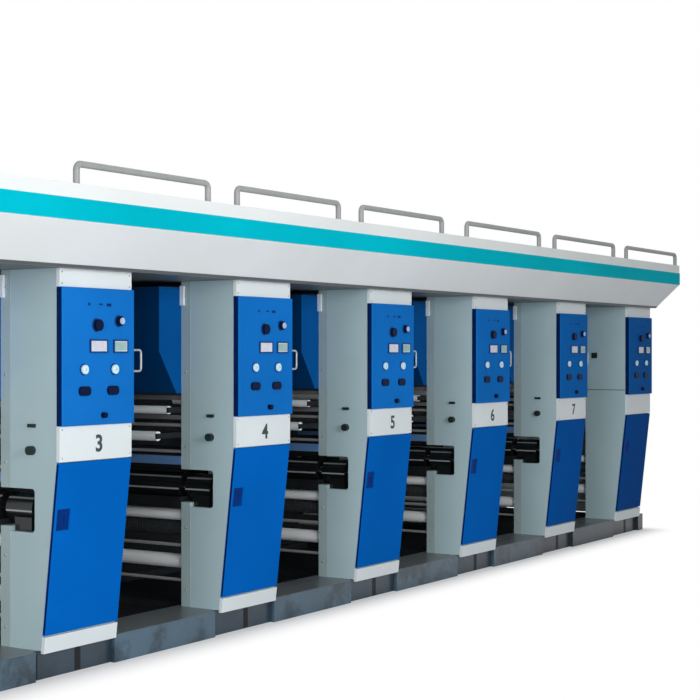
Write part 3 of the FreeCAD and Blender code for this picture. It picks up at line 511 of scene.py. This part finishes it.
# Fittings on the faces of the control panels, each x from the column's left
DISPLAYS = ((0.266, 0.122), (0.436, 0.100))
DISPLAY_Z = 1.696
HALF_DISPLAY = 0.028
FRAME_EDGE = 0.007
BUTTONS_X = (0.156, 0.388)
BUTTON_Z = 1.576
BUTTON_RADIUS = 0.024
BUTTON_OUT = 0.014
SWITCHES = ((0.252, 1.804, 0.030), (0.422, 1.828, 0.026))
PILOT_WINDOWS = ((0.190, 0.204, 1.904, 1.918), (0.272, 0.298, 1.908, 1.916),
                 (0.330, 0.366, 1.903, 1.918))
frames = bmesh.new()
faces = bmesh.new()
rings = bmesh.new()
dots = bmesh.new()
pointers = bmesh.new()
marks = bmesh.new()
for bay in range(BAYS):
    left = column_left(bay)
    for middle, width in DISPLAYS:
        x0, x1 = left + middle - width / 2, left + middle + width / 2
        z0, z1 = DISPLAY_Z - HALF_DISPLAY, DISPLAY_Z + HALF_DISPLAY
        edge = FRAME_EDGE
        y0, y1 = PANEL_FACE - 0.009, PANEL_FACE + 0.001
        add_bar(frames, (x0 - edge, y0, z0 - edge), (x0 + 0.001, y1, z1 + edge), 0.001)
        add_bar(frames, (x1 - 0.001, y0, z0 - edge), (x1 + edge, y1, z1 + edge), 0.001)
        add_bar(frames, (x0, y0, z0 - edge), (x1, y1, z0 + 0.001), 0.001)
        add_bar(frames, (x0, y0, z1 - 0.001), (x1, y1, z1 + edge), 0.001)
    for start, end, low, high in PILOT_WINDOWS:
        add_bar(marks, (left + start, PANEL_FACE - 0.0016, low),
                (left + end, PANEL_FACE + 0.0004, high), 0.0005)
    x = left + DISPLAYS[1][0]
    add_bar(faces, (x - 0.044, PANEL_FACE - 0.0072, DISPLAY_Z - 0.022),
            (x + 0.044, PANEL_FACE - 0.0055, DISPLAY_Z + 0.022), 0.0006)
    for x in (left + out_by for out_by in BUTTONS_X):
        add_disc(rings, (x, PANEL_FACE - 0.002, BUTTON_Z), BUTTON_RADIUS + 0.007, 0.006,
                 "Y", 0.002)
        add_disc(dots, (x, PANEL_FACE - BUTTON_OUT - 0.0008, BUTTON_Z), 0.008, 0.003,
                 "Y", 0.001, 20)
    for place_x, z, radius in SWITCHES:
        x = left + place_x
        add_disc(rings, (x, PANEL_FACE - 0.002, z), radius + 0.006, 0.006, "Y", 0.002)
        if radius < 0.028:
            add_disc(pointers, (x + 0.005, PANEL_FACE - 0.025, z), radius * 0.72, 0.004,
                     "Y", 0.001)
finish_piece("display_frames", frames, BEZEL, "machine")
finish_piece("display_glass", faces, GREEN, "machine")
finish_piece("control_rings", rings, BEZEL, "machine", True)
finish_piece("button_dots", dots, CYAN, "machine", True)
finish_piece("knob_pointers", pointers, LAVENDER, "machine")
finish_piece("pilot_windows", marks, NAVY, "machine")

# Dark strips on the left flank of each panel and door, painted shade on the flanks
bm = bmesh.new()
for bay in range(BAYS):
    x = column_left(bay)
    add_bar(bm, (x - 0.0008, PANEL_FACE + 0.006, PANEL_LOW),
            (x + 0.0005, -0.9805, PANEL_HIGH), 0.0002)
finish_piece("panel_flank_shades", bm, FLANK_SHADE, "machine")
FLANK_SHADE_LENGTH = 0.868
for bay in range(BAYS):
    bm = bmesh.new()
    middle_z = (DOOR_LOW + DOOR_HIGH) / 2
    x = column_left(bay)
    middle_y = slant_y(middle_z) + 0.010
    add_bar(bm, (x - 0.0008, middle_y - 0.0060, middle_z - FLANK_SHADE_LENGTH / 2),
            (x + 0.0005, middle_y + 0.0060, middle_z + FLANK_SHADE_LENGTH / 2), 0.0002, LEAN)
    finish_piece("door_gasket_%d" % (bay + 1), bm, FLANK_SHADE, "door_%d" % (bay + 1))

# Pale strip down the front left corner of each column, a painted highlight on the bent sheet
# edge
bm = bmesh.new()
for bay in range(BAYS):
    x = column_left(bay)
    add_bar(bm, (x - 0.0010, -0.9800, 1.106), (x + 0.0005, -0.9745, COLUMN_TOP), 0.0003)
    middle_z = (0.152 + DOOR_HIGH) / 2
    middle_y = slant_y(middle_z) + 0.0228
    add_bar(bm, (x - 0.0010, middle_y - 0.0028, 0.156),
            (x + 0.0005, middle_y + 0.0028, DOOR_HIGH), 0.0003, LEAN)
finish_piece("column_edge_highlights", bm, EDGE_HIGHLIGHT, "machine")

# Dark strips at the edges of the front rail's recesses, painted shade
bm = bmesh.new()
for bay in range(BAYS):
    left = column_left(bay)
    for start, width in ((-0.044, 0.040), (0.270, 0.045)):
        add_bar(bm, (left + start, -0.8530, 0.004),
                (left + start + width, -0.8515, 0.134), 0.0004)
finish_piece("rail_recess_shades", bm, DARK, "machine")

# Dark strip in the joint between the two end covers, painted shade in the gap
bm = bmesh.new()
x = column_left(BAYS - 1)
add_bar(bm, (x - 0.0055, -0.978, 1.3295), (x + 0.001, -0.594, 1.3345), 0.0004)
finish_piece("cover_joint_shade", bm, DARK, "machine")

# Flat beads over the joints of the roof sheets
bm = bmesh.new()
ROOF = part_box("header_housing")[1][2]
BEAD_LOW, BEAD_HIGH = ROOF - 0.001, ROOF + 0.0015
for bay in range(BAYS):
    x = column_left(bay) - 0.45
    add_bar(bm, (x - 0.010, -1.10, BEAD_LOW), (x + 0.010, 1.10, BEAD_HIGH), 0.0006)
add_bar(bm, (-4.38, -0.010, BEAD_LOW), (4.38, 0.010, BEAD_HIGH), 0.0006)
finish_piece("roof_joint_beads", bm, BEAD_AND_HIGHLIGHT, "machine")

# Screw heads on skins, wall plates and rear panels
SKIN_SCREWS_Z = (2.012, 2.070, 1.128, 1.272)
PLATE_SCREWS_Z = (0.25, 0.62, 1.10, 1.55, 2.00)
REAR_SCREWS_Z = (0.20, 0.85, 1.45, 2.04)
SKIN_EDGE = 0.018
bm = bmesh.new()
for bay in range(BAYS):
    left = column_left(bay)
    for x in (left + SKIN_EDGE, left + COLUMN - SKIN_EDGE):
        for z in SKIN_SCREWS_Z:
            add_disc(bm, (x, FRONT - 0.0008, z), 0.0055, 0.0035, "Y", 0.0015, 14)
    if bay < OPEN_BAYS:
        for z in PLATE_SCREWS_Z:
            add_disc(bm, (left - 0.001, -0.626, z), 0.008, 0.005, "X", 0.002, 14)
    for x in (left - 0.90, left - 0.465, left - 0.03):
        for z in REAR_SCREWS_Z:
            add_disc(bm, (x, 0.6128, z), 0.007, 0.004, "Y", 0.0, 14)
finish_piece("panel_screws", bm, SCREW, "machine", True)

# Floor: pale, with the machine's shadow, and white further out
FLOOR_REACH = 60
SHADOW_REACH = (4.5, 0.9)
floor_mesh = bpy.data.meshes.new("floor")
floor_mesh.from_pydata(
    [(x * FLOOR_REACH, y * FLOOR_REACH, 0) for x, y in ((-1, -1), (1, -1), (1, 1), (-1, 1))],
    [], [(0, 1, 2, 3)])
floor = bpy.data.objects.new("floor", floor_mesh)
scene.collection.objects.link(floor)
floor_material = bpy.data.materials.new("pale floor")
floor_material.use_nodes = True
tree = floor_material.node_tree
nodes = tree.nodes
link = tree.links.new
nodes["Principled BSDF"].inputs["Base Color"].default_value = (0.80, 0.81, 0.82, 1)
nodes["Principled BSDF"].inputs["Roughness"].default_value = 0.9
nodes["Principled BSDF"].inputs["Specular IOR Level"].default_value = 0.1


def two_inputs(operation, first, second):
    """Output of a maths node on two values or outputs of the floor's nodes."""
    node = nodes.new("ShaderNodeMath")
    node.operation = operation
    for number, value in enumerate((first, second)):
        if hasattr(value, "is_output"):
            link(value, node.inputs[number])
        else:
            node.inputs[number].default_value = value
    return node.outputs[0]


where = nodes.new("ShaderNodeNewGeometry")
parts = nodes.new("ShaderNodeSeparateXYZ")
link(where.outputs["Position"], parts.inputs[0])
away = []
for number, reach in enumerate(SHADOW_REACH):
    far = two_inputs("ABSOLUTE", parts.outputs[number], 0.0)
    past = two_inputs("SUBTRACT", far, reach)
    beyond = two_inputs("MAXIMUM", past, 0.0)
    away.append(two_inputs("MULTIPLY", beyond, beyond))
distance = two_inputs("POWER", two_inputs("ADD", away[0], away[1]), 0.5)
fade = nodes.new("ShaderNodeMapRange")
fade.interpolation_type = "SMOOTHSTEP"
fade.inputs["From Min"].default_value = -0.20
fade.inputs["From Max"].default_value = 0.32
link(distance, fade.inputs["Value"])
path = nodes.new("ShaderNodeLightPath")
shade = nodes.new("ShaderNodeBsdfDiffuse")
shade.inputs["Color"].default_value = (0.66, 0.67, 0.68, 1)
ground = nodes.new("ShaderNodeMixShader")
link(path.outputs["Is Diffuse Ray"], ground.inputs[0])
link(nodes["Principled BSDF"].outputs[0], ground.inputs[1])
link(shade.outputs[0], ground.inputs[2])
glow = nodes.new("ShaderNodeEmission")
glow.inputs["Color"].default_value = (1, 1, 1, 1)
glow.inputs["Strength"].default_value = 1.0
mix = nodes.new("ShaderNodeMixShader")
link(two_inputs("MULTIPLY", seen_directly(tree), fade.outputs[0]), mix.inputs[0])
link(ground.outputs[0], mix.inputs[1])
link(glow.outputs[0], mix.inputs[2])
link(mix.outputs[0], nodes["Material Output"].inputs["Surface"])
floor_mesh.materials.append(floor_material)
